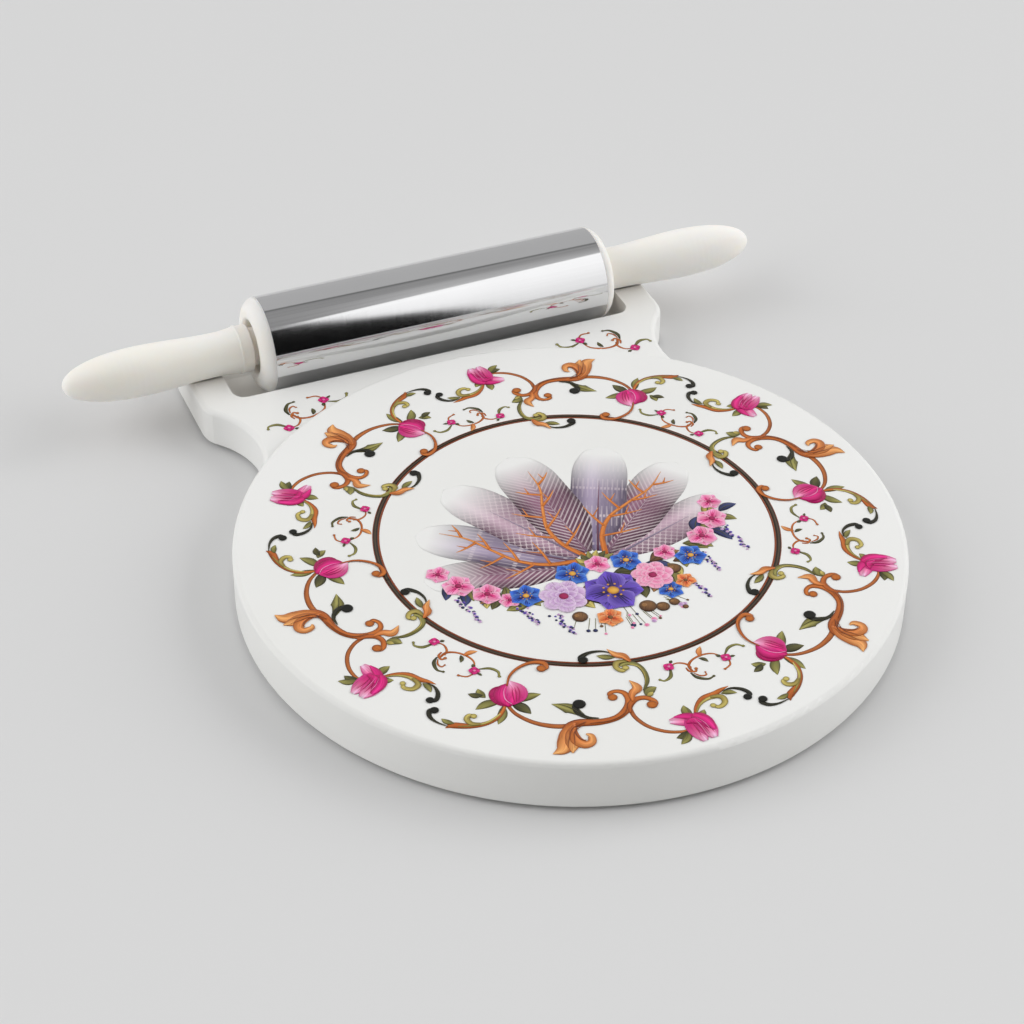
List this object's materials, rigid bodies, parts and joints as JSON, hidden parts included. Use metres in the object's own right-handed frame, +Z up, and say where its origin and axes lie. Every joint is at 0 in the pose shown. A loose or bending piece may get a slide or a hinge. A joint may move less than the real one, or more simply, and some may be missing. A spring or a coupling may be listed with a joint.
{
  "type": "chakla rolling board",
  "caption": "Round pastry board with a rear rest whose trough and saddles hold a steel rolling pin that lifts out; its roller turns and slides between the handles.",
  "frame": {"origin": "centre of the bounding box in plan, on the surface that the feet stand on", "axes": "+Z up, +X along the rolling pin, -Y towards the rolling disc, +Y towards the pin rest"},
  "size_m": [0.3386, 0.3444, 0.0505],
  "materials": {
    "shell": "glossy white moulding with a printed disc",
    "cover": "fine matte moulding",
    "fasteners": "zinc plated",
    "feet": "matte",
    "tube": "polished stainless steel",
    "caps": "glossy cream moulding",
    "handles": "smooth cream moulding",
    "bushes": "natural nylon",
    "axle": "drawn bright steel"
  },
  "bodies": {
    "board": {"board_shell": "shell", "base_cover": "cover", "base_screws": "fasteners", "rubber_feet": "feet"},
    "pin": {"axle_rod": "axle", "left_handle": "handles", "right_handle": "handles"},
    "bushes": {"left_bush": "bushes", "right_bush": "bushes", "bush_clips": "fasteners"},
    "roller": {"roller_tube": "tube", "left_cap": "caps", "right_cap": "caps"}
  },
  "joints": [
    {"name": "pin_lift", "type": "slide", "parent": "board", "child": "pin", "axis": [0, 0, 1], "range_m": [0, 0.06]},
    {"name": "roller_float", "type": "slide", "parent": "pin", "child": "bushes", "axis": [1, 0, 0], "range_m": [-0.01, 0]},
    {"name": "roller_spin", "type": "hinge", "parent": "bushes", "child": "roller", "pos_m": [0, 0.14325, 0.0284], "axis": [1, 0, 0], "continuous": true}
  ]
}
